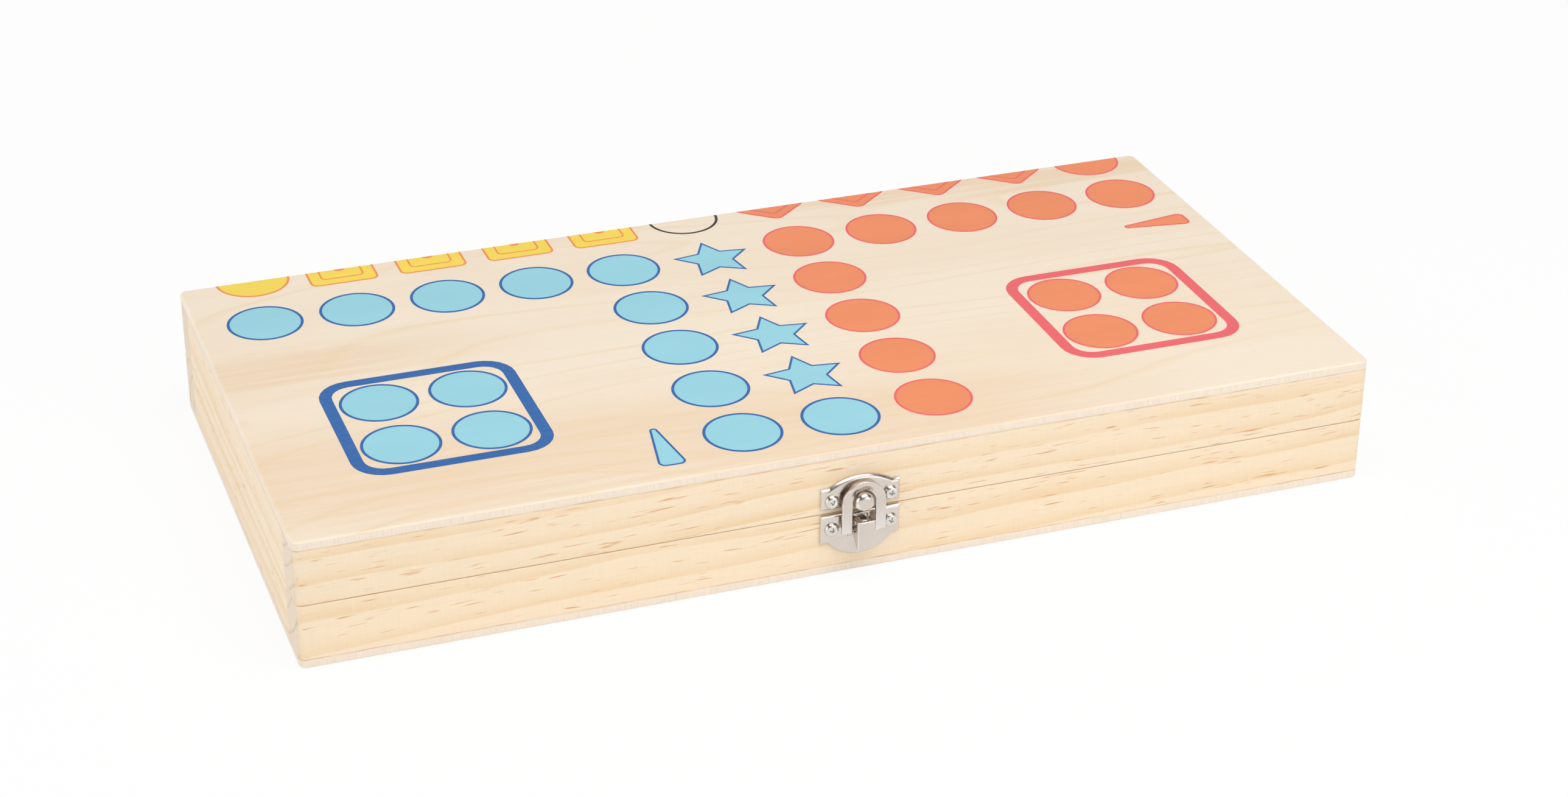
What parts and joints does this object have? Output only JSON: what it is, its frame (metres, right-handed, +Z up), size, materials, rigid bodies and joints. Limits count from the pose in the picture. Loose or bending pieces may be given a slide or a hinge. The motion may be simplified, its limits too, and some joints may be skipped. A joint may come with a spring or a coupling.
{
  "type": "folding ludo board box",
  "caption": "Folding wooden board game box: hinged trays that shut with a toggle latch, store the playing pieces and open flat to give a ludo board.",
  "frame": {"origin": "middle of the face that the shut box rests on, the outer face of the lower panel", "axes": "+Z up, +X along the fold and the long sides, the latch faces -Y and the hinges are at +Y"},
  "size_m": [0.3, 0.1581, 0.0366],
  "materials": {
    "plywood": "sanded birch-faced plywood, thin clear coat, printed on its outer face",
    "pine": "sanded pine, thin clear coat",
    "hinge_metal": "brass-plated steel",
    "latch_metal": "satin nickel plate on pressed steel",
    "latch_screws": "bright nickel plate"
  },
  "bodies": {
    "lower_tray": {"lower_panel": "plywood", "lower_front_rail": "pine", "lower_back_rail": "pine", "lower_left_rail": "pine", "lower_right_rail": "pine", "left_hinge_lower_leaf": "hinge_metal", "right_hinge_lower_leaf": "hinge_metal", "left_hinge_pin": "hinge_metal", "right_hinge_pin": "hinge_metal", "left_hinge_lower_screws": "hinge_metal", "right_hinge_lower_screws": "hinge_metal", "latch_base_plate": "latch_metal", "latch_base_screw_left": "latch_screws", "latch_base_screw_right": "latch_screws", "latch_lever_pin": "latch_metal"},
    "upper_tray": {"upper_panel": "plywood", "upper_front_rail": "pine", "upper_back_rail": "pine", "upper_left_rail": "pine", "upper_right_rail": "pine", "left_hinge_upper_leaf": "hinge_metal", "right_hinge_upper_leaf": "hinge_metal", "left_hinge_upper_screws": "hinge_metal", "right_hinge_upper_screws": "hinge_metal", "latch_keeper_plate": "latch_metal", "latch_keeper_screw_left": "latch_screws", "latch_keeper_screw_right": "latch_screws"},
    "latch_lever": {"latch_lever": "latch_metal", "latch_loop_pin": "latch_metal"},
    "latch_loop": {"latch_loop": "latch_metal"}
  },
  "joints": [
    {"name": "board_fold", "type": "hinge", "parent": "lower_tray", "child": "upper_tray", "pos_m": [0, 0.0751, 0.0183], "axis": [-1, 0, 0], "range_deg": [0, 180]},
    {"name": "latch_lever_swing", "type": "hinge", "parent": "lower_tray", "child": "latch_lever", "pos_m": [0, -0.0785, 0.0163], "axis": [-1, 0, 0], "range_deg": [0, 100]},
    {"name": "latch_loop_swing", "type": "hinge", "parent": "latch_lever", "child": "latch_loop", "pos_m": [0, -0.0775, 0.0127], "axis": [-1, 0, 0], "range_deg": [-78, 0]}
  ],
  "couplings": [
    {"joint": "latch_loop_swing", "follows": "latch_lever_swing", "ratio": -0.78}
  ]
}
